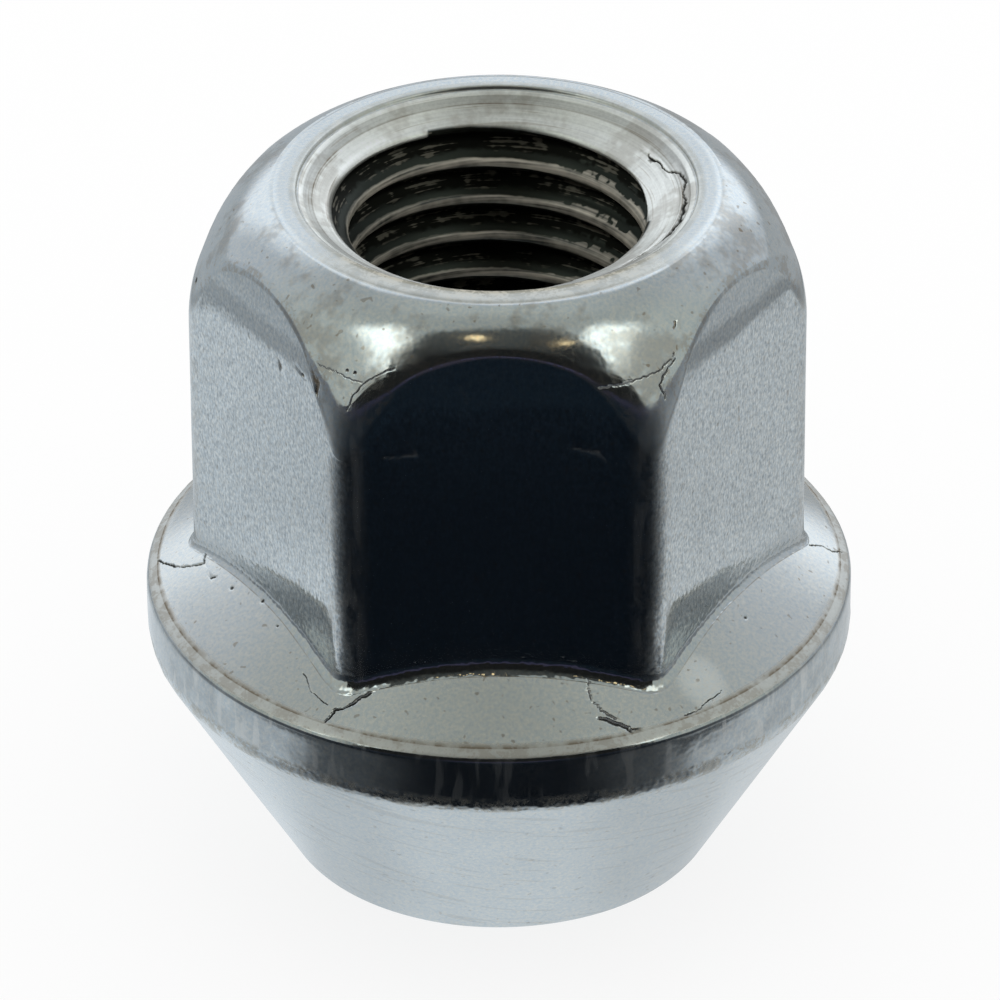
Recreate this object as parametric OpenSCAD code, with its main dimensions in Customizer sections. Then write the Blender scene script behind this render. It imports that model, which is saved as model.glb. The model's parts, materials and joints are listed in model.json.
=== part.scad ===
// Open wheel nut with a taper seat: a hexagon with a rounded crown on a fixed collar,
// forged in one piece, threaded right through, and standing here on the small end of its seat.
// Millimetres, +Z along the thread from the seat to the crown, origin at the centre of the foot.

/* [Hexagon] */
// Distance across the flats, the spanner size
across_flats = 19; // [17:0.5:21]
// Radius of the hexagon's upright edges
corner_r = 1.1; // [0.4:0.1:2]

/* [Crown] */
// Overall height of the nut
overall_h = 26; // [23:0.5:32]
// Radius of the rounding along the crown's highest ring
crown_r = 0.65; // [0.4:0.05:1]
// Angle by which that rounding turns down into the mouth of the bore
crown_turn = 63; // [30:1:75]
// Radius of the arc that rounds the shoulder from the crown to the hexagon
shoulder_r = 6.5; // [5:0.25:8]
// Distance by which the shoulder stands clear of the hexagon's upright edges
shoulder_gap = 0.15; // [0.05:0.05:0.6]

/* [Collar] */
// Diameter of the collar's rim
collar_d = 25; // [24.5:0.5:30]
// Height of the rim, from the seat to the edge of the collar's top
rim_h = 2.15; // [1:0.05:4]
// Angle at which the collar's top rises towards the hexagon
collar_slope = 33; // [5:1:40]
// Radius of the rounding between the rim and the collar's top
lip_r = 0.35; // [0.1:0.05:0.8]

/* [Seat] */
// Included angle of the taper seat
seat_angle = 60; // [50:1:90]
// Diameter of the seat's small end, on which the nut stands
foot_d = 15.3; // [14:0.1:18]
// Radius of the rounding between the seat and the rim
seat_edge_r = 1.2; // [0.2:0.1:2]
// Radius of the rounding between the seat and the foot
foot_edge_r = 0.3; // [0.1:0.05:0.4]

/* [Thread] */
// Nominal diameter of the thread
thread_d = 12; // [10:0.5:12.5]
// Pitch of the thread
thread_pitch = 1.5; // [1:0.25:2]
// Width of the countersink at the crown, beyond the nominal thread, on each side
mouth_margin = 0.92; // [0.3:0.02:1.2]
// Included angle of the countersink at the crown
mouth_angle = 140; // [110:5:150]
// Width of the countersink at the foot, beyond the nominal thread, on each side
entry_margin = 0.3; // [0.1:0.05:0.4]
// Included angle of the countersink at the foot
entry_angle = 90; // [60:5:120]

/* [Hidden] */

// Smoothness of the true circles, and the turn between the straight steps of an arc, in degrees
$fn = 96;
arc_turn = 6;
// Length by which a cut runs past the face that it leaves
past = 1;

// Basic profile of a metric thread: depth of the internal crest below the nominal radius, in pitches
crest_depth = 5 * sqrt(3) / 16;
thread_r = thread_d / 2;
bore_r = thread_r - crest_depth * thread_pitch;
mouth_r = thread_r + mouth_margin;
entry_r = thread_r + entry_margin;

// The rounded hexagon: a smaller sharp one, thickened by the corner radius
inner_apothem = across_flats / 2 - corner_r;
inner_corner = inner_apothem / cos(30);
hex_corner_r = inner_corner + corner_r;

// The crown's rounding ends at the mouth, and lies inside the shoulder's arc, touching it
crown_centre = [mouth_r + crown_r * sin(crown_turn), overall_h - crown_r];
shoulder_centre_r = hex_corner_r + shoulder_gap - shoulder_r;
centre_distance = shoulder_r - crown_r;
centre_angle = acos((crown_centre.x - shoulder_centre_r) / centre_distance);
shoulder_centre = [shoulder_centre_r, crown_centre.y - centre_distance * sin(centre_angle)];
mouth_edge_z = crown_centre.y + crown_r * cos(crown_turn);
mouth_apex_z = mouth_edge_z - mouth_r / tan(mouth_angle / 2);
entry_depth = (entry_r - bore_r) / tan(entry_angle / 2);

// The seat runs from the foot up to the rim, where their sharp corner would be at seat_h
collar_r = collar_d / 2;
foot_r = foot_d / 2;
seat_slope = seat_angle / 2;
seat_h = (collar_r - foot_r) / tan(seat_slope);
lip_centre = [collar_r - lip_r, seat_h + rim_h - lip_r];
seat_edge_centre = [collar_r - seat_edge_r, seat_h + seat_edge_r * tan(seat_slope / 2)];
foot_edge_centre = [foot_r - foot_edge_r * tan(45 - seat_slope / 2), foot_edge_r];
lip_turn = 90 - collar_slope;
lip_end = lip_centre + lip_r * [cos(lip_turn), sin(lip_turn)];
collar_apex_z = lip_end.y + lip_end.x * tan(collar_slope);

// Points along an arc, from one angle to another
function arc(centre, radius, from, to) =
    let (steps = ceil(abs(to - from) / arc_turn))
    [for (i = [0 : steps]) let (a = from + (to - from) * i / steps)
        centre + radius * [cos(a), sin(a)]];

// Hexagon with rounded corners, two of its flats square to Y
module rounded_hexagon() {
    polygon([for (a = [0 : 60 : 300])
        each arc(inner_corner * [cos(a), sin(a)], corner_r, a - 30, a + 30)]);
}

// Round envelope of the head: shoulder, crown, the roll into the mouth and the mouth's countersink
module crown_envelope() {
    rotate_extrude()
        polygon(concat(
            [[0, 0], [shoulder_centre.x + shoulder_r, 0]],
            arc(shoulder_centre, shoulder_r, 0, centre_angle),
            arc(crown_centre, crown_r, centre_angle, 90),
            arc(crown_centre, crown_r, 90, 90 + crown_turn),
            [[0, mouth_apex_z]]));
}

// Hexagon head, from inside the collar up to the crown
module hexagon_head() {
    intersection() {
        translate([0, 0, seat_h])
            linear_extrude(height = overall_h - seat_h) rounded_hexagon();
        crown_envelope();
    }
}

// Taper seat, rim and the cone of the collar's top, which runs up into the hexagon
module collar_and_seat() {
    rotate_extrude()
        polygon(concat(
            [[0, 0]],
            arc(foot_edge_centre, foot_edge_r, -90, -seat_slope),
            arc(seat_edge_centre, seat_edge_r, -seat_slope, 0),
            arc(lip_centre, lip_r, 0, lip_turn),
            [[0, collar_apex_z]]));
}

// Bore at the thread's crests, right through, with the countersink at the foot
module threaded_bore() {
    rotate_extrude()
        polygon([
            [0, -past],
            [entry_r + past * tan(entry_angle / 2), -past],
            [bore_r, entry_depth],
            [bore_r, overall_h + past],
            [0, overall_h + past]]);
}

module lug_nut() {
    color("LightSteelBlue")
        difference() {
            union() {
                collar_and_seat();
                hexagon_head();
            }
            threaded_bore();
        }
}

lug_nut();
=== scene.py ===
"""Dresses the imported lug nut: a zinc-plated steel body with a real thread, its wear and a plain studio."""

import json
import math
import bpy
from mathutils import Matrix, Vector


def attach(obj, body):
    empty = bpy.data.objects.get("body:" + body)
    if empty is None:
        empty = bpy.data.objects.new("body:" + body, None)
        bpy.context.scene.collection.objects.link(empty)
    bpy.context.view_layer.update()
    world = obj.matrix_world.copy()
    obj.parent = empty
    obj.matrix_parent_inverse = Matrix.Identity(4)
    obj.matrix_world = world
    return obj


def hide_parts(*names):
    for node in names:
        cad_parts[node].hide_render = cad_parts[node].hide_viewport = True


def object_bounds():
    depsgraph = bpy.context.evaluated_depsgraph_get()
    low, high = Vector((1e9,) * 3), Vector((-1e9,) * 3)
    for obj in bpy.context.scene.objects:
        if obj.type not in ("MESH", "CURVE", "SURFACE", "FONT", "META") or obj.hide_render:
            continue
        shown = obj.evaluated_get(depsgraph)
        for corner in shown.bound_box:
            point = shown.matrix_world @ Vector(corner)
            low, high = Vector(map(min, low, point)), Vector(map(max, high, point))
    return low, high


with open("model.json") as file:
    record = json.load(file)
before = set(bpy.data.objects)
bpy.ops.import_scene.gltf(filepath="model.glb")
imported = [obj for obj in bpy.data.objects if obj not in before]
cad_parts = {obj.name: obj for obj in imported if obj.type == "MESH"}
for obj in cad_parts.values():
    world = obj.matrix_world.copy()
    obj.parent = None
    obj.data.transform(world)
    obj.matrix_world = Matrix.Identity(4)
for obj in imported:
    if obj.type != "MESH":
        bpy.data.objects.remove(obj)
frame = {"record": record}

from types import SimpleNamespace

import bmesh
import bpy
import numpy as np
from bpy.props import FloatProperty, FloatVectorProperty, PointerProperty
from mathutils import Matrix, Vector, noise
from mathutils.bvhtree import BVHTree
from mathutils.kdtree import KDTree

bl_info = {
    "name": "Lug nut",
    "version": (1, 0, 0),
    "blender": (4, 5, 0),
    "location": "View3D > Sidebar > Lug nut",
    "description": "Builds a zinc-plated wheel lug nut around its packed frame",
    "category": "Mesh",
}

# The CAD box, kept from straight after the load, and the thread's crest radius from the record
CAD_LOW, CAD_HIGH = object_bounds()
BORE_RADIUS = next(m["dims"]["r_mm"] for m in frame["record"]["mounts"] if m["kind"] == "threaded_hole")

MM = 0.001

# Steps of the skin: along a flat, round an upright edge, up a flat's top and up the shoulder
FLAT_STEPS = 21
EDGE_STEPS = 9
LENS_STEPS = 8
SHOULDER_STEPS = 20
# Times that the search for a crease halves its span
HALVINGS = 40
SIDES = 6
SECTOR = 2 * math.pi / SIDES
FRONT = -math.pi / 2


def length(label, words, millimetres):
    return FloatProperty(name=label, description=words, default=millimetres * MM, unit="LENGTH", precision=5)


def angle(label, words, degrees):
    return FloatProperty(name=label, description=words, default=math.radians(degrees), subtype="ANGLE")


def share(label, words, value):
    return FloatProperty(name=label, description=words, default=value, min=0.0, max=1.0, subtype="FACTOR")


def paint(label, words, value):
    return FloatVectorProperty(
        name=label, description=words, default=value, min=0.0, max=1.0, subtype="COLOR")


class LugNutSizes(bpy.types.PropertyGroup):
    """Sizes of the nut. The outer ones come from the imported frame."""

    overall_h: length("Height", "Overall height of the nut", (CAD_HIGH.z - CAD_LOW.z) / MM)
    collar_d: length("Collar", "Diameter of the collar's rim", (CAD_HIGH.x - CAD_LOW.x) / MM)
    bore_r: length("Bore", "Radius at the thread's crests", BORE_RADIUS)
    across_flats: length("Across flats", "Spanner size of the hexagon", 19)
    corner_r: length("Upright edges", "Radius of the hexagon's upright edges", 1.1)
    crown_r: length("Crown rounding", "Radius along the crown's highest ring", 0.65)
    crown_turn: angle("Crown turn", "How far the crown's rounding turns into the mouth", 63)
    shoulder_r: length("Shoulder", "Radius of the arc from crown to hexagon", 6.5)
    shoulder_gap: length("Shoulder gap", "How far the shoulder stands clear of the upright edges", 0.15)
    rim_h: length("Rim height", "From the seat to the edge of the collar's top", 2.15)
    collar_slope: angle("Collar slope", "Rise of the collar's top towards the hexagon", 33)
    lip_r: length("Lip", "Radius between rim and collar's top", 0.35)
    seat_angle: angle("Seat angle", "Included angle of the taper seat", 60)
    foot_d: length("Foot", "Diameter of the seat's small end", 15.3)
    seat_edge_r: length("Seat edge", "Radius between seat and rim", 1.2)
    foot_edge_r: length("Foot edge", "Radius between seat and foot", 0.3)
    thread_d: length("Thread", "Nominal diameter of the thread", 12)
    thread_pitch: length("Pitch", "Pitch of the thread", 1.5)
    thread_start: length("Thread start", "Height of the top crest at the back of the bore", 23.83)
    thread_fill: length("Thread fill", "How far the plate fills the thread's roots", 0.12)
    mouth_margin: length("Mouth", "Width of the crown's countersink beyond the thread", 0.92)
    mouth_angle: angle("Mouth angle", "Included angle of the crown's countersink", 140)
    entry_margin: length("Entry", "Width of the foot's countersink beyond the thread", 0.3)
    entry_angle: angle("Entry angle", "Included angle of the foot's countersink", 90)
    land_edge: length("Land", "From the mouth's edge to the end of the land turned on the crown", 0.2)
    land_step: length("Land step", "Height of the step from that land down to the countersink", 0.14)
    base_fillet: length("Base fillet", "Length of the rounding between hexagon and collar", 0.4)
    rim_line: length("Rim line", "From the lip to the fine line around the collar's top", 0.22)
    roll_h: length("Flat's roll", "Height at which a flat starts to lean in under the crown", 22.7)
    roll_depth: length("Roll depth", "How far a flat has leaned in, one millimetre above that", 0.075)
    shoulder_swell: length("Shoulder swell", "How far the forged shoulder swells beyond its arc", 0.1)
    crease_flat: length("Crease", "Length of the rounding at the middle of a flat's top", 0.22)
    crease_edge: length("Crease at edges", "Length of the rounding at the top of an upright edge", 1.0)


class LugNutFinish(bpy.types.PropertyGroup):
    """Colours and gloss of the zinc plate and of the dirt in the thread."""

    plate: paint("Zinc", "Clear zinc plate", (0.64, 0.71, 0.75))
    plate_warm: paint("Warm zinc", "Zinc plate where it has dulled", (0.70, 0.71, 0.68))
    # This colour also paints the warm glint on the collar, a painted highlight
    scuff_and_glint: paint("Scuff", "Bright scuffs and worn edges", (0.80, 0.80, 0.77))
    # This colour also paints the shade along the foot of the flats
    stain_and_shade: paint("Stain", "Brown stain along creases and on the shoulder", (0.28, 0.23, 0.17))
    dirt: paint("Dirt", "Black oily dirt in the thread and the cracks", (0.018, 0.019, 0.016))
    # Beige and the turned colour also paint the shade on the crown's front
    beige: paint("Beige", "Rubbed crests of the thread, and the turned mouth", (0.62, 0.58, 0.48))
    turned_and_shade: paint("Turned", "Dull steel of the land turned on the crown", (0.38, 0.36, 0.29))
    oil: paint("Oil", "Oily flanks of the thread", (0.038, 0.044, 0.038))
    gloss: share("Roughness", "Roughness of clean plate", 0.085)


class LugNutStudio(bpy.types.PropertyGroup):
    """Camera of the photograph's view."""

    elevation: angle("Elevation", "Height of the camera above the horizon", 32.58)
    distance: length("Distance", "From the camera to the middle of the nut", 350)
    roll: angle("Roll", "Turn of the camera about its own axis", -0.27)
    aim_x: length("Aim across", "Point that the camera looks at", 0.05)
    aim_z: length("Aim height", "Height of the point that the camera looks at", 13.12)
    middle_z: length("Middle", "Height of the nut's middle", 11)
    lens: FloatProperty(
        name="Lens", description="Focal length in millimetres", default=355.2, subtype="DISTANCE_CAMERA")


def plain_sizes(group):
    """The lengths of a property group in millimetres and its angles in radians."""
    values = {}
    for prop in group.bl_rna.properties:
        if prop.type == "FLOAT" and not prop.is_array:
            value = getattr(group, prop.identifier)
            values[prop.identifier] = value / MM if prop.unit == "LENGTH" else value
    return SimpleNamespace(**values)


def on_circle(centre, radius, turn):
    """The point of a circle of the outline at an angle."""
    return centre[0] + radius * math.cos(turn), centre[1] + radius * math.sin(turn)


def derive_outline(s):
    """Adds to the sizes what follows from them, in the same way as the part's source."""
    s.thread_r = s.thread_d / 2
    s.root_r = s.thread_r - s.thread_fill
    s.mouth_r = s.thread_r + s.mouth_margin
    s.entry_r = s.thread_r + s.entry_margin
    s.apothem = s.across_flats / 2
    s.inner_corner = (s.apothem - s.corner_r) / math.cos(SECTOR / 2)
    s.flat_half = s.inner_corner * math.sin(SECTOR / 2)
    s.crown_centre = (s.mouth_r + s.crown_r * math.sin(s.crown_turn), s.overall_h - s.crown_r)
    shoulder_x = s.inner_corner + s.corner_r + s.shoulder_gap - s.shoulder_r
    between = s.shoulder_r - s.crown_r
    s.crown_start = math.acos((s.crown_centre[0] - shoulder_x) / between)
    s.shoulder_centre = (shoulder_x, s.crown_centre[1] - between * math.sin(s.crown_start))
    # The land leaves only a low step above the countersink, which still ends at the same height inside
    inner_z = s.crown_centre[1] + s.crown_r * math.cos(s.crown_turn)
    inner_z -= (s.mouth_r - s.root_r) / math.tan(s.mouth_angle / 2)
    s.mouth_edge_z = s.overall_h - s.land_step
    s.mouth_rise = (s.mouth_edge_z - inner_z) / (s.mouth_r - s.root_r)
    s.entry_rise = 1 / math.tan(s.entry_angle / 2)
    s.collar_r = s.collar_d / 2
    s.foot_r = s.foot_d / 2
    s.seat_slope = s.seat_angle / 2
    s.seat_h = (s.collar_r - s.foot_r) / math.tan(s.seat_slope)
    s.lip_centre = (s.collar_r - s.lip_r, s.seat_h + s.rim_h - s.lip_r)
    s.lip_turn = math.pi / 2 - s.collar_slope
    s.lip_end = on_circle(s.lip_centre, s.lip_r, s.lip_turn)
    seat_edge_z = s.seat_h + s.seat_edge_r * math.tan(s.seat_slope / 2)
    s.seat_edge_centre = (s.collar_r - s.seat_edge_r, seat_edge_z)
    foot_x = s.foot_r - s.foot_edge_r * math.tan(math.pi / 4 - s.seat_slope / 2)
    s.foot_edge_centre = (foot_x, s.foot_edge_r)
    return s


def smooth(value, low, high):
    """0 below low, 1 above high, and a soft step between them."""
    t = np.clip((value - low) / (high - low), 0, 1)
    return t * t * (3 - 2 * t)


def hexagon_columns(s):
    """Azimuth and radius of the hexagon at each column of the skin, and how near an upright edge it is."""
    azimuths, radii, nearness = [], [], []
    along_flat = np.linspace(-s.flat_half, s.flat_half, FLAT_STEPS, endpoint=False)
    round_edge = SECTOR * np.arange(EDGE_STEPS) / EDGE_STEPS
    for side in range(SIDES):
        turn = FRONT + side * SECTOR
        local = np.concatenate([
            s.apothem + 1j * along_flat,
            s.inner_corner * np.exp(0.5j * SECTOR) + s.corner_r * np.exp(1j * round_edge)])
        azimuths.append(turn + np.angle(local))
        radii.append(np.abs(local))
        nearness.append(np.concatenate([np.abs(along_flat) / s.flat_half, np.ones(EDGE_STEPS)]))
    return np.concatenate(azimuths), np.concatenate(radii), np.concatenate(nearness)


class Skin:
    """Rings of points, from the foot up the outside and down through the thread, as one closed skin."""

    def __init__(self, azimuth):
        self.azimuth = azimuth
        self.points = []
        self.zones = []
        self.faces = []
        self.marks = {name: [] for name in MARKS}

    def put(self, radius, height, zone, **marks):
        """Adds the points of one ring and returns their numbers."""
        count = len(self.azimuth)
        start = len(self.points)
        radius = np.broadcast_to(radius, count)
        height = np.broadcast_to(height, count)
        self.points += list(zip(radius * np.cos(self.azimuth), radius * np.sin(self.azimuth), height))
        self.zones += [zone] * count
        for name, values in self.marks.items():
            values += list(np.broadcast_to(marks.get(name, 0.0), count))
        return list(range(start, start + count))

    def put_one(self, point, zone):
        self.points.append(point)
        self.zones.append(zone)
        for values in self.marks.values():
            values.append(0.0)
        return len(self.points) - 1

    def ring(self, radius, height, zone, **marks):
        """Adds one ring and joins it to the last one."""
        new = self.put(radius, height, zone, **marks)
        if new[0]:
            self.join(self.last, new)
        self.last = new
        return new

    def join(self, lower, upper):
        """Faces between two closed rings of point numbers."""
        count = len(self.azimuth)
        for j in range(count):
            k = (j + 1) % count
            self.face(lower[j], lower[k], upper[k], upper[j])

    def face(self, *corners):
        """One face; a point that repeats drops out, and so does a face without area."""
        kept = [c for i, c in enumerate(corners) if c != corners[i - 1]]
        if len(set(kept)) > 2:
            self.faces.append(kept)

    def arc(self, centre, radius, start, end, steps, zone):
        """Rings along an arc of the outline, without its first point."""
        for i in range(1, steps + 1):
            a = start + (end - start) * i / steps
            self.ring(*on_circle(centre, radius, a), zone)

    def straight(self, start, end, steps, zone, **marks):
        """Rings along a straight part of the outline, without its first point."""
        for i in range(1, steps + 1):
            t = i / steps
            self.ring(start[0] + (end[0] - start[0]) * t, start[1] + (end[1] - start[1]) * t, zone, **marks)

    def bend(self, start, corner, end, steps, zone, **marks):
        """Rings along a rounded corner of the outline, without its first point."""
        for i in range(1, steps + 1):
            t = i / steps
            a, b, c = (1 - t) ** 2, 2 * t * (1 - t), t * t
            self.ring(a * start[0] + b * corner[0] + c * end[0],
                      a * start[1] + b * corner[1] + c * end[1], zone, **marks)


def shoulder_point(s, turn):
    """Radius and height on the shoulder at an angle of its arc, with the swell of the forging."""
    middle, spread = math.radians(46), math.radians(12)
    radius = s.shoulder_r + s.shoulder_swell * np.exp(-((turn - middle) / spread) ** 2)
    return s.shoulder_centre[0] + radius * np.cos(turn), s.shoulder_centre[1] + radius * np.sin(turn)


def crease_turns(s, hex_r, lean):
    """Angle of the shoulder's arc where it meets the leaning flat, at each column, found by halving."""
    low = np.zeros(hex_r.shape)
    high = np.full(hex_r.shape, s.crown_start)
    for _ in range(HALVINGS):
        middle = (low + high) / 2
        radius, height = shoulder_point(s, middle)
        outside = radius > hex_r - lean(height)
        low = np.where(outside, middle, low)
        high = np.where(outside, high, middle)
    return (low + high) / 2


def raise_outside(skin, s, hex_r, nearness):
    """Foot, seat, rim, collar, flats and crown, up to the mouth's edge."""
    # Width of the first ring beside a sharp change, which keeps the shading crisp there
    fine = 0.025
    skin.ring(s.entry_r, 0, "foot")
    skin.ring(s.entry_r + fine, 0, "foot")
    skin.straight((s.entry_r + fine, 0), (s.foot_edge_centre[0], 0), 3, "foot")
    skin.arc(s.foot_edge_centre, s.foot_edge_r, FRONT, -s.seat_slope, 6, "seat")
    toe = on_circle(s.foot_edge_centre, s.foot_edge_r, -s.seat_slope)
    heel = on_circle(s.seat_edge_centre, s.seat_edge_r, -s.seat_slope)
    skin.straight(toe, heel, 16, "seat")
    skin.arc(s.seat_edge_centre, s.seat_edge_r, -s.seat_slope, 0, 8, "heel")
    skin.straight((s.collar_r, s.seat_edge_centre[1]), (s.collar_r, s.lip_centre[1]), 9, "rim")
    skin.arc(s.lip_centre, s.lip_r, 0, s.lip_turn * 0.6, 4, "rim")
    skin.arc(s.lip_centre, s.lip_r, s.lip_turn * 0.6, s.lip_turn, 3, "lip")

    base_z = collar_height(s, hex_r)
    edge = smooth(nearness, 0.92, 1.0)

    def on_collar(radius):
        return radius, collar_height(s, radius)

    fillet = s.base_fillet * (0.6 + 0.4 * smooth(np.cos(skin.azimuth - FRONT), 0.6, 0.9))
    out_r = hex_r + fillet * math.cos(s.collar_slope)
    rim_line = s.lip_end[0] - s.rim_line
    bands = ((s.lip_end[0], rim_line, 3, "lip"), (rim_line - fine, out_r, 14, "collar"))
    for start, end, steps, zone in bands:
        for i in range(1, steps):
            skin.ring(*on_collar(start + (end + fine - start) * i / (steps - 1)), zone)
        # The collar's last ring, by the flats, carries a painted shade along the foot of each flat
        skin.ring(*on_collar(end), zone, line=1 - edge if zone == "collar" else 1.0)
    skin.ring(*on_collar(out_r - fine), "fillet", edge=edge)
    skin.bend(on_collar(out_r - fine), (hex_r, base_z), (hex_r, base_z + fillet), 8, "fillet", edge=edge)

    on_flat = 1 - smooth(nearness, 0.72, 1.0)

    def lean(z):
        above = np.maximum(0, z - s.roll_h)
        return s.roll_depth * (above * 2 + above ** 2) / 3 * on_flat

    turn = crease_turns(s, hex_r, lean)
    _, top_z = shoulder_point(s, turn)
    soft = s.crease_flat + (s.crease_edge - s.crease_flat) * smooth(nearness, 0.6, 1.0)
    roll_z = np.minimum(s.roll_h, top_z - soft - fine * 5)
    skin.straight((hex_r, base_z + fillet), (hex_r, roll_z), 14, "flat", edge=edge)
    lens_top = top_z - soft
    for i in range(1, LENS_STEPS + 1):
        z = roll_z + (lens_top - roll_z) * i / LENS_STEPS
        skin.ring(hex_r - lean(z), z, "lens", edge=edge)
    leave = turn + soft / s.shoulder_r
    corner = (hex_r - lean(top_z), top_z)
    skin.bend((hex_r - lean(lens_top), lens_top), corner, shoulder_point(s, leave), 7, "crease", edge=edge)
    for i in range(1, SHOULDER_STEPS + 1):
        skin.ring(*shoulder_point(s, leave + (s.crown_start - leave) * i / SHOULDER_STEPS), "shoulder")
    skin.arc(s.crown_centre, s.crown_r, s.crown_start, math.pi / 2, 7, "crown")
    land_end = (s.mouth_r + s.land_edge, s.overall_h)
    wall_top = (s.mouth_r + s.land_edge / 6, s.mouth_edge_z)
    skin.straight((s.crown_centre[0], s.overall_h), land_end, 4, "land")
    skin.bend(land_end, (s.mouth_r + s.land_edge / 4, s.overall_h), wall_top, 5, "land")
    skin.ring(s.mouth_r, s.mouth_edge_z, "roll")


def collar_height(s, radius):
    """Height of the collar's top at a radius."""
    return s.lip_end[1] + (s.lip_end[0] - radius) * math.tan(s.collar_slope)


def shoulder_height(s, radius):
    """Height of the shoulder's plain arc at a radius."""
    return s.shoulder_centre[1] + math.sqrt(s.shoulder_r ** 2 - (radius - s.shoulder_centre[0]) ** 2)


def mouth_height(s, radius):
    """Height of the countersink at the crown at a radius."""
    return s.mouth_edge_z - (s.mouth_r - radius) * s.mouth_rise


def thread_turn(s):
    """One turn of the thread, downwards from a crest's upper edge: share of the pitch, and radius."""
    middle = (s.bore_r + s.root_r) / 2
    ease = 0.03
    return (
        (0.0, s.bore_r + ease), (0.03, s.bore_r), (0.16, s.bore_r), (0.19, s.bore_r + ease), (0.37, middle),
        (0.55, s.root_r - ease / 2), (0.625, s.root_r), (0.70, s.root_r - ease / 2), (0.85, middle))


def crest_edge(s, azimuth):
    """Height of the top crest's upper edge at an azimuth; the helix climbs anticlockwise."""
    return s.thread_start + s.thread_pitch / 8 + s.thread_pitch * (azimuth + FRONT) / (2 * math.pi)


def bore_radius(s, thread_radius, height):
    """Radius of the bore's wall: the thread, or a countersink where that is wider."""
    cone = max(s.mouth_r - (s.mouth_edge_z - height) / s.mouth_rise, s.entry_r - height / s.entry_rise)
    blend = 0.02
    gap = thread_radius - cone
    return (thread_radius + cone + math.sqrt(gap * gap + blend * blend)) / 2, cone > thread_radius


# Tool steps on the countersink: share of the way in, and how far the ring stands off the cone, in millimetres
TOOL_STEPS = (
    (0.04, 0), (0.2, 0.015), (0.26, -0.025), (0.56, 0.015), (0.62, -0.025), (0.8, 0.012), (0.86, -0.015))


def cut_mouth_and_thread(skin, s):
    """Countersink with its tool steps, the helical thread, and the countersink at the foot."""
    # Both countersinks end a little outside the thread's roots
    inner_r = s.root_r + 0.06
    low_r = s.root_r + 0.05
    for way, stand_off in TOOL_STEPS:
        radius = s.mouth_r + (inner_r - s.mouth_r) * way
        skin.ring(radius, mouth_height(s, radius) + stand_off, "mouth")
    top_z = mouth_height(s, inner_r)
    top_ring = skin.ring(inner_r, top_z, "mouth")
    low_z = (s.entry_r - low_r) * s.entry_rise
    bottom_ring = skin.put(low_r, low_z, "entry")

    turn = thread_turn(s)
    edge = crest_edge(s, skin.azimuth)
    count = len(skin.azimuth)
    # A row that comes this near to the end of the wall runs out into it
    near = 0.03
    rows = []
    for k in range(-2, math.ceil(s.overall_h / s.thread_pitch) + 1):
        for way, thread_radius in turn:
            row = []
            for j, z in enumerate(edge - (k + way) * s.thread_pitch):
                if z > top_z - near:
                    row.append(top_ring[j])
                elif z < low_z + near:
                    row.append(bottom_ring[j])
                else:
                    r, on_cone = bore_radius(s, thread_radius, z)
                    point = (r * math.cos(skin.azimuth[j]), r * math.sin(skin.azimuth[j]), z)
                    row.append(skin.put_one(point, "mouth" if on_cone else "thread"))
            rows.append(row)
    for i, row in enumerate(rows):
        # After a whole turn a row meets the one that started a pitch higher
        row.append(rows[i - len(turn)][0] if i >= len(turn) else top_ring[0])
    for upper, lower in zip(rows, rows[1:]):
        for j in range(count):
            skin.face(upper[j], upper[j + 1], lower[j + 1], lower[j])
    skin.last = bottom_ring
    skin.ring(s.entry_r - near, near, "entry")
    skin.join(skin.last, list(range(count)))


# How uneven the forging is in each zone: depth of the waves and their length, in millimetres
UNEVEN = {
    "seat": (0.010, 3.0), "heel": (0.022, 0.7), "rim": (0.014, 1.1), "lip": (0.022, 0.9),
    "collar": (0.012, 2.5), "fillet": (0.03, 0.8), "flat": (0.008, 3.0), "lens": (0.010, 2.0),
    "crease": (0.012, 1.5), "shoulder": (0.012, 2.6), "crown": (0.008, 2.0), "land": (0.004, 1.2),
    "roll": (0.006, 1.2), "mouth": (0.006, 1.5), "thread": (0.012, 0.9)}
ZONES = tuple(UNEVEN)
# What else the skin's points carry: nearness to an upright edge, fine lines on the collar with a painted
# shade along the foot of the flats, and what is cut in
MARKS = ("edge", "line")
CUTS = ("crack", "scratch", "pit")


def roughen(points, normals, zones):
    """Moves each point a little along its normal, by smooth noise."""
    for i, zone in enumerate(zones):
        depth, wave = UNEVEN.get(zone, (0, 1))
        if depth:
            points[i] += normals[i] * depth * noise.noise(Vector(points[i]) / wave)


def build_nut_mesh(s):
    """The whole skin as a mesh in millimetres, with an attribute for each zone and mark."""
    azimuth, hex_r, nearness = hexagon_columns(s)
    skin = Skin(azimuth)
    raise_outside(skin, s, hex_r, nearness)
    cut_mouth_and_thread(skin, s)
    mesh = bpy.data.meshes.new("lug_nut_body")
    mesh.from_pydata(skin.points, [], skin.faces)
    mesh.update()
    normals = np.zeros(len(skin.points) * 3)
    mesh.vertex_normals.foreach_get("vector", normals)
    points = np.array(skin.points)
    roughen(points, normals.reshape(-1, 3), skin.zones)
    mesh.vertices.foreach_set("co", points.ravel())
    zones = np.array(skin.zones)
    marks = {name: (zones == name) for name in ZONES}
    marks.update(skin.marks)
    for name, values in marks.items():
        attribute = mesh.attributes.new(name, "FLOAT", "POINT")
        attribute.data.foreach_set("value", np.asarray(values, np.float32))
    return mesh


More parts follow.
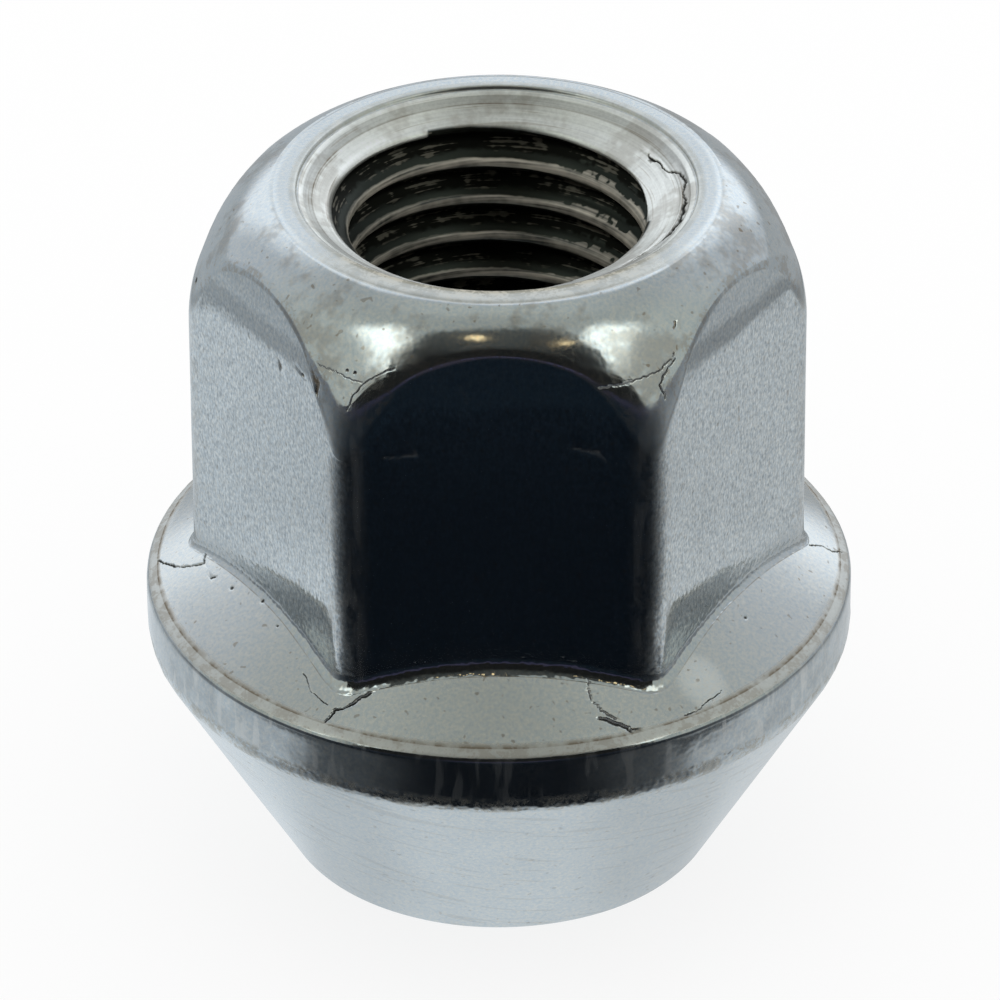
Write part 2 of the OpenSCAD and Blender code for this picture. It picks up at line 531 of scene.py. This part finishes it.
# Cracks, laps and pits of the forging: where they lie, half width and depth in millimetres, and the points
# that they run through, each an azimuth in degrees and a radius in millimetres
CRACKS = (
    ("collar", 0.030, 0.06, ((-180, 12.1), (-175, 11.5), (-172, 11.0), (-170.5, 10.55), (-173, 10.45))),
    ("collar", 0.018, 0.04, ((-128.5, 10.9), (-125.5, 11.3), (-123.5, 11.45), (-121, 11.55))),
    ("collar", 0.040, 0.08, ((-120, 12.05), (-119, 11.6), (-117.5, 11.45), (-116, 11.1), (-114.5, 10.8))),
    ("collar", 0.020, 0.04, ((-72.5, 10.2), (-73, 10.7), (-72, 11.25), (-69.5, 11.55))),
    ("collar", 0.045, 0.09, ((-72.5, 11.45), (-70.5, 11.6), (-69.5, 11.75), (-68, 12.0))),
    ("collar", 0.022, 0.04, ((-58, 12.05), (-54.5, 12.0), (-51.5, 11.85), (-49, 11.75))),
    ("collar", 0.025, 0.04, ((-1.5, 11.05), (0.5, 11.5), (0.5, 11.85), (2, 12.2))),
    ("mouth", 0.035, 0.06, (
        (30.5, 6.1), (23.5, 6.15), (17, 6.2), (14.5, 6.4), (10.5, 6.6), (3, 6.5), (-5.5, 6.5))),
    ("mouth", 0.065, 0.08, (
        (-5.5, 6.5), (-10, 6.55), (-17, 6.55), (-26, 6.45), (-32, 6.35), (-38, 6.25), (-46, 6.15))),
    ("shoulder", 0.020, 0.03, ((-70, 10.1), (-65.5, 10.1), (-60.5, 10.1), (-57, 10.05), (-53.5, 9.95))),
    ("shoulder", 0.025, 0.04, ((-52.5, 9.85), (-53.5, 10.0), (-56.5, 10.15), (-57.5, 10.3), (-57, 10.5))),
    ("shoulder", 0.016, 0.03, (
        (-127.5, 10.1), (-124.5, 10.05), (-119, 10.1), (-117, 10.1), (-114, 9.9), (-111.5, 9.75))),
    ("shoulder", 0.020, 0.03, ((-117, 10.1), (-118.5, 10.35), (-119, 10.55))),
    ("collar", 0.070, 0.02, ((-158, 10.1),)),
    ("collar", 0.065, 0.02, ((-148.5, 9.7),)),
    ("collar", 0.040, 0.03, ((-164.5, 10.5), (-164, 10.4))),
    ("collar", 0.060, 0.02, ((-140.5, 10.0),)),
    ("collar", 0.070, 0.02, ((-33.5, 10.3),)))
# Seed of the noise that lets the cracks sway, so that each run gives the same ones
CRACK_SEED = 1
# Distance between the points along a crack, how it sways, by the pitch and width of each wave, and how far
# the skin is refined on both sides of it, coarse and then fine; all in millimetres, the pitch in waves to one
CRACK_SPACING = 0.02
CRACK_SWAY = ((2.5, 0.08), (9.0, 0.04))
CRACK_REACH = (0.30, 0.14)
# Height, at a radius, of each surface that cracks lie on
HEIGHTS = {"collar": collar_height, "shoulder": shoulder_height, "mouth": mouth_height}
# Bright scratches on the front flat: half width and depth, and points across it and up it, in millimetres
SCRATCHES = (
    (0.045, 0.010, ((-4.1, 20.75), (-3.4, 20.9), (-2.75, 21.0))),
    (0.045, 0.012, ((2.6, 21.15), (3.2, 21.05), (3.9, 21.15))),
    (0.018, 0.006, ((-1.25, 23.5), (-1.15, 23.2), (-1.1, 22.95))))
# Brown pits beside the creases: half width and depth, and points by azimuth, radius and height
PITS = (
    (0.06, 0.05, ((-141, 9.62, 22.45), (-140.8, 9.63, 22.35))),
    (0.08, 0.06, ((-132.2, 9.97, 22.95), (-132, 9.98, 22.85))),
    (0.08, 0.06, ((-127.3, 10.25, 23.1), (-127.1, 10.25, 22.65))),
    (0.04, 0.05, ((-120.7, 10.0, 23.8),)),
    (0.04, 0.05, ((-118.9, 10.0, 23.8),)),
    (0.05, 0.05, ((-177, 10.5, 22.6), (-177, 10.5, 22.45))),
    (0.05, 0.04, ((-50.5, 9.45, 24.65), (-49.5, 9.35, 24.75))),
    (0.04, 0.05, ((-137.5, 9.75, 13.2),)))


def crack_lines(s):
    """Every crack, scratch and pit: its mark, half width, depth and corner points."""
    for zone, width, depth, stations in CRACKS:
        yield "crack", width, depth, [round_point(a, r, HEIGHTS[zone](s, r)) for a, r in stations]
    for width, depth, stations in SCRATCHES:
        yield "scratch", width, depth, [Vector((x, -s.apothem, z)) for x, z in stations]
    for width, depth, stations in PITS:
        yield "pit", width, depth, [round_point(*station) for station in stations]


def round_point(degrees, radius, height):
    """The point at an azimuth, a radius and a height."""
    azimuth = math.radians(degrees)
    return Vector((radius * math.cos(azimuth), radius * math.sin(azimuth), height))


def crack_points(s, tree):
    """Points close together along every crack, on the skin, each with its mark, half width and depth."""
    noise.seed_set(CRACK_SEED)
    found = []
    for mark, width, depth, corners in crack_lines(s):
        for start, end in zip(corners, corners[1:] + corners[-1:]):
            steps = max(1, math.ceil((end - start).length / CRACK_SPACING))
            for i in range(steps):
                spot = start.lerp(end, i / steps)
                spot = sum((noise.noise_vector(spot * wave) * sway for wave, sway in CRACK_SWAY), spot)
                spot = tree.find_nearest(spot)[0]
                # A crack is wider here and narrower there
                found.append((spot, mark, width * (1 + 0.7 * noise.noise(spot * 3.0)), depth))
    return found


def edges_of(faces):
    """The edges of some faces, each once, in the order of the faces."""
    return list(dict.fromkeys(e for f in faces for e in f.edges))


def cut_cracks(bm, s):
    """Refines the skin along the cracks and scratches and sinks them into it."""
    found = crack_points(s, BVHTree.FromBMesh(bm))
    near = KDTree(len(found))
    for i, (spot, *_) in enumerate(found):
        near.insert(spot, i)
    near.balance()
    for reach in CRACK_REACH:
        faces = [f for f in bm.faces if near.find(f.calc_center_median())[2] < reach]
        bmesh.ops.subdivide_edges(bm, edges=edges_of(faces), cuts=2, use_grid_fill=True)
    bm.normal_update()
    layers = {mark: bm.verts.layers.float.new(mark) for mark in CUTS}
    moves = []
    for v in bm.verts:
        _, i, distance = near.find(v.co)
        _, mark, width, depth = found[i]
        hollow = 1 - smooth(distance, 0.2 * width, 1.6 * width)
        if hollow > 0:
            v[layers[mark]] = 1 - smooth(distance, 0.6 * width, 1.3 * width)
            moves.append((v, v.normal * (-depth * hollow)))
    for v, move in moves:
        v.co += move


def sharpen_thread_start(bm, s):
    """Refines the wall where the first turns run out into the countersink, so that their edge is crisp."""
    high = mouth_height(s, s.root_r) + 0.02
    low = high - 0.78
    limit = s.root_r + 0.05

    def inside(v):
        return low < v.co.z < high and v.co.xy.length < limit

    faces = [f for f in bm.faces if any(inside(v) for v in f.verts)]
    bmesh.ops.subdivide_edges(bm, edges=edges_of(faces), cuts=1, use_grid_fill=True)
    turn = thread_turn(s)
    ways = [way for way, _ in turn] + [1.0]
    radii = [radius for _, radius in turn] + [turn[0][1]]
    for v in bm.verts:
        if inside(v):
            azimuth = math.atan2(v.co.y, v.co.x)
            way = (crest_edge(s, azimuth) - v.co.z) / s.thread_pitch % 1.0
            radius, _ = bore_radius(s, float(np.interp(way, ways, radii)), v.co.z)
            v.co.xy = (radius * math.cos(azimuth), radius * math.sin(azimuth))


def finish_mesh(mesh, s):
    """Adds the fine shapes, turns millimetres into metres and shades the skin smooth."""
    bm = bmesh.new()
    bm.from_mesh(mesh)
    sharpen_thread_start(bm, s)
    cut_cracks(bm, s)
    bmesh.ops.recalc_face_normals(bm, faces=bm.faces)
    bm.to_mesh(mesh)
    bm.free()
    mesh.transform(Matrix.Scale(MM, 4))
    mesh.polygons.foreach_set("use_smooth", [True] * len(mesh.polygons))
    mesh.update()


class Wire:
    """A value that changes over a surface. Arithmetic on it adds Math nodes."""

    def __init__(self, tree, socket):
        self.tree = tree
        self.socket = socket

    def math(self, operation, *terms, clamp=False):
        settings = {"operation": operation, "use_clamp": clamp}
        return self.tree.node("ShaderNodeMath", settings, dict(enumerate(terms)))

    def __add__(self, other):
        return self.math("ADD", self, other)

    def __radd__(self, other):
        return self.math("ADD", other, self)

    def __sub__(self, other):
        return self.math("SUBTRACT", self, other)

    def __rsub__(self, other):
        return self.math("SUBTRACT", other, self)

    def __mul__(self, other):
        return self.math("MULTIPLY", self, other)

    def __rmul__(self, other):
        return self.math("MULTIPLY", other, self)

    def __truediv__(self, other):
        return self.math("DIVIDE", self, other)

    def __rtruediv__(self, other):
        return self.math("DIVIDE", other, self)

    def __pow__(self, other):
        return self.math("POWER", self, other)

    def __rpow__(self, other):
        return self.math("POWER", other, self)

    def __neg__(self):
        return self.math("MULTIPLY", self, -1.0)

    def __abs__(self):
        return self.math("ABSOLUTE", self)

    def clamp(self):
        return self.math("ADD", self, 0.0, clamp=True)

    def step(self, low, high):
        """0 at low, 1 at high, and a soft step between; low may be the larger."""
        settings = {"interpolation_type": "SMOOTHSTEP"}
        sockets = {"Value": self, "From Min": low, "From Max": high}
        return self.tree.node("ShaderNodeMapRange", settings, sockets)


class NodeWork:
    """Adds nodes to a node tree."""

    def __init__(self, tree):
        self.tree = tree
        tree.nodes.clear()

    def node(self, kind, settings=None, sockets=None, output=0):
        """A node of that type: settings first, then the values or links of its sockets."""
        made = self.tree.nodes.new(kind)
        for name, value in (settings or {}).items():
            setattr(made, name, value)
        for name, value in (sockets or {}).items():
            if isinstance(value, Wire):
                self.tree.links.new(value.socket, made.inputs[name])
            else:
                made.inputs[name].default_value = value
        return Wire(self, made.outputs[output]) if made.outputs else None

    def vector(self, operation, *terms, output=0):
        return self.node("ShaderNodeVectorMath", {"operation": operation}, dict(enumerate(terms)), output)

    def scaled(self, vector, factor):
        return self.node("ShaderNodeVectorMath", {"operation": "SCALE"}, {0: vector, "Scale": factor})

    def split(self, vector):
        first = self.node("ShaderNodeSeparateXYZ", {}, {0: vector})
        outputs = first.socket.node.outputs
        return [Wire(self, outputs[i]) for i in range(3)]

    def joined(self, x, y, z):
        return self.node("ShaderNodeCombineXYZ", {}, {0: x, 1: y, 2: z})

    def mixed(self, factor, first, second):
        """A colour between two others."""
        colours = [c if isinstance(c, Wire) else (*c, 1.0) for c in (first, second)]
        settings = {"data_type": "RGBA"}
        return self.node("ShaderNodeMix", settings, {0: factor, 6: colours[0], 7: colours[1]}, 2)

    def millimetres(self):
        """The place of a point on its object, in millimetres."""
        place = self.node("ShaderNodeTexCoord", {}, {}, "Object")
        return self.scaled(place, 1 / MM)

    def noise(self, vector, scale, detail=0.0, roughness=0.5):
        sockets = {"Vector": vector, "Scale": scale, "Detail": detail, "Roughness": roughness}
        return self.node("ShaderNodeTexNoise", {}, sockets)

    def attribute(self, name):
        return self.node("ShaderNodeAttribute", {"attribute_name": name}, {}, "Fac")


# How each zone of the plate differs from clean plate: its brightness, and what is added to its roughness
WEAR = {
    "seat": (0.95, 0.12), "heel": (0.9, 0.05), "rim": (0.80, 0.02), "lip": (0.95, 0.35),
    "collar": (0.98, 0.07), "fillet": (0.9, 0.0), "flat": (1.0, -0.02), "lens": (1.0, -0.02),
    "crease": (0.95, 0.02), "shoulder": (1.0, 0.03), "crown": (1.0, 0.06), "land": (1.0, 0.1),
    "roll": (0.95, 0.4), "mouth": (1.0, 0.34), "thread": (1.0, 0.3)}


def zinc_material(finish, s):
    """Zinc plate on steel: speckled, grained on the flats, scuffed, stained, and black in the thread, with
    painted highlights in the mouth, a painted glint on the collar and painted shade on the crown's front and
    along the foot of the flats.
    """
    material = bpy.data.materials.new("zinc_plate")
    material.use_nodes = True
    t = NodeWork(material.node_tree)
    mm = t.millimetres()
    x, y, z = t.split(mm)
    radius = (x * x + y * y) ** 0.5
    zone = {name: t.attribute(name) for name in (*ZONES, *MARKS, *CUTS)}
    # The thread's upper edge is crisp
    for name in ("mouth", "thread"):
        zone[name] = zone[name].step(0.3, 0.7)
    flat = zone["flat"] + zone["lens"] * 0.5
    mouth = zone["mouth"]

    # Noise from coarse to fine: clouds, blotches, grain of the flats, speckle; then scattered spots
    cloud = t.noise(mm, 0.4)
    blotch = t.noise(mm, 1.3, 2.0, 0.7)
    grain = t.noise(t.vector("MULTIPLY", mm, (11.0, 11.0, 5.5)), 1.0, 1.0, 0.6) - 0.5
    speckle = t.noise(mm, 8.0, 1.0, 0.6) - 0.5
    pepper = t.noise(t.vector("ADD", mm, (0.0, 40.0, 0.0)), 4.5)
    # Lines that run round the axis, streaks down the rim and the edges, slanting scratches on the seat
    ring = t.noise(t.joined(x / radius * 1.5, y / radius * 1.5, (radius + z) * 7.0), 1.0, 1.0, 0.6) - 0.5
    streak = t.noise(t.vector("MULTIPLY", mm, (2.2, 2.2, 0.5)), 1.0, 1.0, 0.6)
    scratch = t.noise(t.joined(z * 7.0 + x * 1.4, x * 0.4, y * 0.4), 1.0)

    level = 1 + speckle * (0.3 + flat * 0.4) + (cloud - 0.5) * 0.08 + grain * flat * 1.2
    level = level + (blotch - 0.5) * zone["rim"] * 0.5 + ring * mouth * 0.5
    for name, (brightness, _) in WEAR.items():
        level = level + zone[name] * (brightness - 1)
    # The countersink's turned bands, from the crown inwards: a painted highlight line, a darker band, a
    # painted highlight band
    outer_end = s.mouth_r - 0.22
    inner_end = s.mouth_r - 0.50
    soft = 0.05
    dull = radius.step(inner_end, inner_end + soft) * radius.step(outer_end + soft, outer_end)
    painted_highlights = radius.step(outer_end, outer_end + soft) * radius.step(s.mouth_r, s.mouth_r - soft)
    painted_highlights = painted_highlights + radius.step(inner_end, inner_end - 0.06) * (0.4 + abs(x).step(1.0, 4.0) * 0.6)
    # A patch on the collar, by the right-hand front edge, is painted bright: a painted warm glint
    painted_glint = zone["collar"] * ((x - 7.0) ** 2 + (y + 8.8) ** 2).step(1.2, 0.0)
    # The countersink takes its painted highlights, which are stronger at its left and right, its darker band,
    # and a painted light on its left side
    level = level + painted_glint * 0.35 + mouth * (painted_highlights * 0.28 - dull * 0.12 + x.step(1.0, -4.0) * 0.1)
    warm = (speckle * 0.9 + 0.22).step(0.0, 0.5) + mouth + zone["lip"] + zone["collar"] * 0.25
    colour = t.mixed(warm.clamp(), finish.plate, finish.plate_warm)
    colour = t.scaled(colour, level)

    # Worn and scuffed: upright edges, the lip, streaks down the rim, scratches, and a painted warm glint on
    # the collar;
    # the land is dull in front, and so is the rim's lower edge; the crown's front has a painted shade
    ragged = (blotch + speckle * 0.6).step(0.42, 0.60)
    front = y.step(-3.0, -6.0)
    inside = radius.step(s.mouth_r + 0.40, s.mouth_r + 0.23)
    # The crown's front is painted dull and darker: a painted shade that dims its reflection
    dull_and_shade = zone["land"] * (front * 0.6 + inside * 0.4) + zone["crown"] * front * 0.5
    dull_and_shade = dull_and_shade + zone["heel"] * ragged * 0.35
    worn_and_glint = zone["edge"] * streak.step(0.50, 0.64) * 0.3 + zone["lip"] * ragged * 0.5 + zone["scratch"] * 0.8
    worn_and_glint = worn_and_glint + zone["rim"] * streak.step(0.56, 0.66) * 0.45
    worn_and_glint = worn_and_glint + painted_glint * (0.2 + ragged * 0.4)
    colour = t.mixed(worn_and_glint.clamp(), colour, finish.scuff_and_glint)
    colour = t.mixed(dull_and_shade, colour, t.mixed(ragged, finish.beige, finish.turned_and_shade))

    # Brown: fine lines, creases, smudges on the shoulder, the lip, the rim's lower edge, arcs in the mouth,
    # and a painted shade along the foot of the flats
    smudge = (blotch + (cloud - 0.5) * 0.8).step(0.46, 0.72)
    spots = pepper.step(0.75, 0.84)
    seam = radius.step(inner_end - 0.02, inner_end + 0.01) * radius.step(inner_end + soft, inner_end + 0.01)
    arcs = ring.step(0.12, 0.22) * 0.35 + seam * blotch * 0.8
    stained_and_shaded = zone["line"] * blotch.step(0.20, 0.55) * 0.65
    stained_and_shaded = stained_and_shaded + zone["crease"] * (1 - zone["edge"]) * ragged * 0.4
    stained_and_shaded = stained_and_shaded + smudge * (zone["shoulder"] * 0.4 + mouth * 0.3) + arcs * mouth
    stained_and_shaded = stained_and_shaded + ragged * (zone["heel"] * 0.2 + zone["lip"] * 0.35 + zone["edge"] * 0.2)
    spotted = zone["collar"] + zone["flat"] * 0.7 + zone["shoulder"] + zone["seat"] * 0.5
    stained_and_shaded = stained_and_shaded + spots * spotted * 0.55
    stained_and_shaded = stained_and_shaded + scratch.step(0.64, 0.74) * zone["seat"] * 0.14
    stained_and_shaded = stained_and_shaded + zone["roll"] * blotch.step(0.30, 0.60) * 0.35 + zone["pit"] * 0.9
    colour = t.mixed(stained_and_shaded.clamp(), colour, finish.stain_and_shade)

    # The thread: rubbed crests, oily flanks, black roots with lighter flakes; more is rubbed on one side
    side = x.step(1.2, 3.6) * y.step(0.0, 3.0)
    depth = radius - s.bore_r + (blotch - 0.5) * 0.16 - side * blotch.step(0.40, 0.55) * 0.22
    crest = zone["thread"] * depth.step(0.112, 0.022)
    flake = (blotch + ring * 0.9).step(0.54, 0.66)
    black = zone["thread"] * (depth + (blotch - 0.5) * 0.3).step(0.262, 0.412)
    colour = t.mixed(zone["thread"], colour, finish.oil)
    colour = t.mixed(black, colour, finish.dirt)
    colour = t.mixed(black * flake * 0.3, colour, finish.beige)
    colour = t.mixed(crest * (ring * 1.8 + blotch).clamp(), colour, finish.beige)
    colour = t.mixed(zone["crack"], colour, finish.dirt)

    rough = finish.gloss + speckle * 0.04 + (worn_and_glint + stained_and_shaded) * 0.15 + dull_and_shade * 0.3
    rough = rough + black * 0.2 + zone["crack"] * 0.4 + zone["edge"] * 0.03
    for name, (_, added) in WEAR.items():
        rough = rough + zone[name] * added
    metal = 1 - crest * 0.8 - zone["crack"] * 0.6
    # Fine relief, in millimetres: turned lines in the mouth, beads on the fillet and the rim's lower edge
    bead = t.noise(mm, 5.0) - 0.5
    height = ring * mouth * 0.004 + bead * (zone["fillet"] * 0.014 + zone["heel"] * 0.014 + 0.002)
    bump = t.node("ShaderNodeBump", {}, {"Strength": 1.0, "Distance": MM, "Height": height})
    sockets = {"Base Color": colour, "Roughness": rough, "Metallic": metal, "Normal": bump}
    shader = t.node("ShaderNodeBsdfPrincipled", {}, sockets)
    t.node("ShaderNodeOutputMaterial", {}, {"Surface": shader})
    return material


class OBJECT_OT_lug_nut_body(bpy.types.Operator):
    """Builds the nut's body with its thread and zinc plate"""

    bl_idname = "lug_nut.body"
    bl_label = "Nut body"

    def execute(self, context):
        sizes = derive_outline(plain_sizes(context.scene.lug_nut_sizes))
        mesh = build_nut_mesh(sizes)
        finish_mesh(mesh, sizes)
        body = bpy.data.objects.new("lug_nut_body", mesh)
        context.scene.collection.objects.link(body)
        body.data.materials.append(zinc_material(context.scene.lug_nut_finish, sizes))
        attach(body, "root")
        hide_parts("lug_nut")
        return {"FINISHED"}


# Side of the floor, and the camera's sensor, the one in metres and the other in millimetres
FLOOR_SIDE = 3.0
SENSOR_WIDTH = 36.0


def floor_material():
    """White to the camera, with a soft shadow; the metal mirrors a pale sheet and a black card on it."""
    material = bpy.data.materials.new("studio_floor")
    material.use_nodes = True
    t = NodeWork(material.node_tree)
    x, y, _ = t.split(t.millimetres())
    glossy = t.node("ShaderNodeLightPath", {}, {}, "Is Glossy Ray")
    # Distance from the nut's axis in millimetres, and angle from straight in front of it, in degrees
    far = (x * x + y * y) ** 0.5
    aside = abs(x.math("ARCTAN2", x, -y)) * math.degrees(1)
    right = x.step(-5.0, 5.0)
    left = 1 - right
    inner = far.step(23.0, 19.0)
    outer = far.step(27.0, 33.0)
    # The sheet dims away from the nut, has a fold across it, and dips and rises a little beside the nut
    fold = far.step(44.0, 49.0) * far.step(57.0, 53.0)
    dip = aside.step(15, 40) * aside.step(80, 55) * far.step(22.0, 12.0)
    strip = aside.step(90, 97) * aside.step(107, 104) * far.step(54.0, 62.0)
    rise = aside.step(95, 110) * outer * far.step(62.0, 52.0) + aside.step(50, 70) * inner
    glow = 0.75 - far.step(12.0, 32.0) * 0.18 - far.step(53.0, 57.0) * 0.11
    glow = glow - fold * 0.26 - dip * 0.11 - strip * 0.18 + rise * left * 0.07
    # The card lies in front of the nut, outside the picture, and fades towards its sides
    spread = far.step(25.5, 26.7) * far.step(29.5, 27.5)
    edge = 52 - right * 5 + spread * (12 + right * 9)
    close = aside.step(15, 45) * 0.14 + aside.step(edge - 9, edge + 9) * 0.86
    fade = aside.step(13, 125 - right * 13 - inner * 45)
    away = inner + outer
    card = (1 - close * (1 - away) - fade * fade * away) * far.step(13.0, 17.0)
    tint = t.mixed(x.step(-20.0, 20.0), (0.97, 1.04, 1.10), (0.91, 0.95, 0.98))
    mirrored = t.scaled(tint, glow * (1 - card))
    dark = t.mixed(far.step(34.0, 60.0), (0.001, 0.003, 0.006), (0.004, 0.009, 0.015))
    dark = t.mixed(far.step(110.0, 300.0), dark, (0.024, 0.024, 0.045))
    mirrored = t.vector("ADD", mirrored, t.scaled(dark, card))
    seen = t.node("ShaderNodeEmission", {}, {"Color": (1, 1, 1, 1), "Strength": 0.80})
    lit = t.node("ShaderNodeBsdfDiffuse", {}, {"Color": (0.22, 0.22, 0.22, 1)})
    plain = t.node("ShaderNodeAddShader", {}, {0: seen, 1: lit})
    mirror = t.node("ShaderNodeEmission", {}, {"Color": mirrored, "Strength": 1.0})
    mix = t.node("ShaderNodeMixShader", {}, {0: glossy, 1: plain, 2: mirror})
    t.node("ShaderNodeOutputMaterial", {}, {"Surface": mix})
    return material


# Two small warm lamps in the dark opening of the tent, as directions from the nut; their light, and that
# of the dusk low in the opening
LAMPS = ((-0.11, -0.39, 0.91), (0.35, -0.49, 0.80))
LAMP_LIGHT = (1.8, 1.35, 0.72)
DUSK_LIGHT = (0.040, 0.036, 0.075)


def studio_world(scene):
    """White behind the nut, soft light from all round, and a light tent for the metal to mirror."""
    world = bpy.data.worlds.new("studio")
    world.use_nodes = True
    t = NodeWork(world.node_tree)
    direction = t.node("ShaderNodeTexCoord", {}, {}, "Generated")
    vx, vy, vz = t.split(direction)
    wide = abs(vx)
    # A bright panel stands behind the nut, and the tent dims towards its sides and top
    back = vy.step(0.0, 0.8)
    panel = vy.step(0.3, 0.6) * (wide + vx.step(0.3, 0.7) * 0.035).step(0.70, 0.53) * vz.step(0.0, 0.15)
    panel = panel * (0.50 + vx.step(0.0, 0.4) * 0.13 - wide.step(0.40, 0.10) * 0.16)
    top = vz.step(0.85, 1.0)
    sky = 0.42 + back * 0.14 + panel + wide.step(0.5, 0.8) * 0.07
    sky = sky + top * (vy.step(-0.15, 0.0) * 0.14 - 0.06)
    # The opening in front, with bright flaps on both sides of it, and dusk low in it
    beside = wide + vy * 1.08
    opening = (-vy - wide * wide * 0.6).step(0.22, 0.28) * beside.step(0.0, -0.06)
    flap = (-vy).step(0.17, 0.27) * wide.step(0.40, 0.47) * wide.step(0.76, 0.62)
    flap = flap * beside.step(-0.06, 0.0) * vz.step(0.28, 0.5)
    light = sky * (1 - opening) + opening * (0.01 + vz.step(0.6, 0.95) * 0.06) + flap * 1.1
    tint = t.mixed(vy.step(-0.2, 0.6), (1.0, 1.05, 0.98), (0.95, 1.0, 1.06))
    dusk = opening * vz.step(0.15, 0.02) * wide.step(0.40, 0.20)
    mirrored = t.vector("ADD", t.scaled(tint, light), t.scaled(DUSK_LIGHT, dusk))
    for lamp in LAMPS:
        toward = t.vector("DOT_PRODUCT", direction, Vector(lamp).normalized(), output="Value")
        mirrored = t.vector("ADD", mirrored, t.scaled(LAMP_LIGHT, toward.step(0.9989, 0.9997)))
    camera = t.node("ShaderNodeLightPath", {}, {}, "Is Camera Ray")
    glossy = Wire(t, camera.socket.node.outputs["Is Glossy Ray"])
    white = t.mixed(camera, (0.9, 0.9, 0.9), (1.0, 1.0, 1.0))
    seen = t.node("ShaderNodeBackground", {}, {"Color": white})
    mirror = t.node("ShaderNodeBackground", {}, {"Color": mirrored})
    mix = t.node("ShaderNodeMixShader", {}, {0: glossy, 1: seen, 2: mirror})
    t.node("ShaderNodeOutputWorld", {}, {"Surface": mix})
    scene.world = world


class OBJECT_OT_lug_nut_stage(bpy.types.Operator):
    """Sets the floor, the light and the camera"""

    bl_idname = "lug_nut.stage"
    bl_label = "Stage"

    def execute(self, context):
        scene = context.scene
        s = plain_sizes(scene.lug_nut_studio)
        mesh = bpy.data.meshes.new("floor")
        half = FLOOR_SIDE / 2
        corners = [(-half, -half, 0), (half, -half, 0), (half, half, 0), (-half, half, 0)]
        mesh.from_pydata(corners, [], [(0, 1, 2, 3)])
        floor = bpy.data.objects.new("floor", mesh)
        scene.collection.objects.link(floor)
        mesh.materials.append(floor_material())
        studio_world(scene)
        scene.view_settings.view_transform = "Standard"

        camera = bpy.data.cameras.new("camera")
        camera.lens = scene.lug_nut_studio.lens
        camera.sensor_width = SENSOR_WIDTH
        camera.clip_start = 0.01
        camera.clip_end = 10.0
        eye = bpy.data.objects.new("camera", camera)
        scene.collection.objects.link(eye)
        back = Vector((0, -math.cos(s.elevation), math.sin(s.elevation)))
        eye.location = (Vector((0, 0, s.middle_z)) + back * s.distance) * MM
        look = Vector((s.aim_x, 0, s.aim_z)) * MM - eye.location
        turn = look.to_track_quat("-Z", "Y") @ Matrix.Rotation(s.roll, 3, "Z").to_quaternion()
        eye.rotation_mode = "QUATERNION"
        eye.rotation_quaternion = turn
        scene.camera = eye
        return {"FINISHED"}


class VIEW3D_PT_lug_nut(bpy.types.Panel):
    """Lists the sizes, the finish and the steps that build the nut"""

    bl_idname = "VIEW3D_PT_lug_nut"
    bl_label = "Lug nut"
    bl_space_type = "VIEW_3D"
    bl_region_type = "UI"
    bl_category = "Lug nut"

    def draw(self, context):
        for name in GROUPS:
            group = getattr(context.scene, name)
            box = self.layout.box()
            for prop in group.bl_rna.properties:
                if prop.identifier not in ("rna_type", "name"):
                    box.prop(group, prop.identifier)
        self.layout.operator(OBJECT_OT_lug_nut_body.bl_idname)
        self.layout.operator(OBJECT_OT_lug_nut_stage.bl_idname)


GROUPS = {"lug_nut_sizes": LugNutSizes, "lug_nut_finish": LugNutFinish, "lug_nut_studio": LugNutStudio}
CLASSES = (*GROUPS.values(), OBJECT_OT_lug_nut_body, OBJECT_OT_lug_nut_stage, VIEW3D_PT_lug_nut)


def register():
    for cls in CLASSES:
        bpy.utils.register_class(cls)
    for name, group in GROUPS.items():
        setattr(bpy.types.Scene, name, PointerProperty(type=group))


def unregister():
    for name in GROUPS:
        delattr(bpy.types.Scene, name)
    for cls in reversed(CLASSES):
        bpy.utils.unregister_class(cls)


def main():
    register()
    bpy.ops.lug_nut.body()
    bpy.ops.lug_nut.stage()


if __name__ == "__main__":
    main()
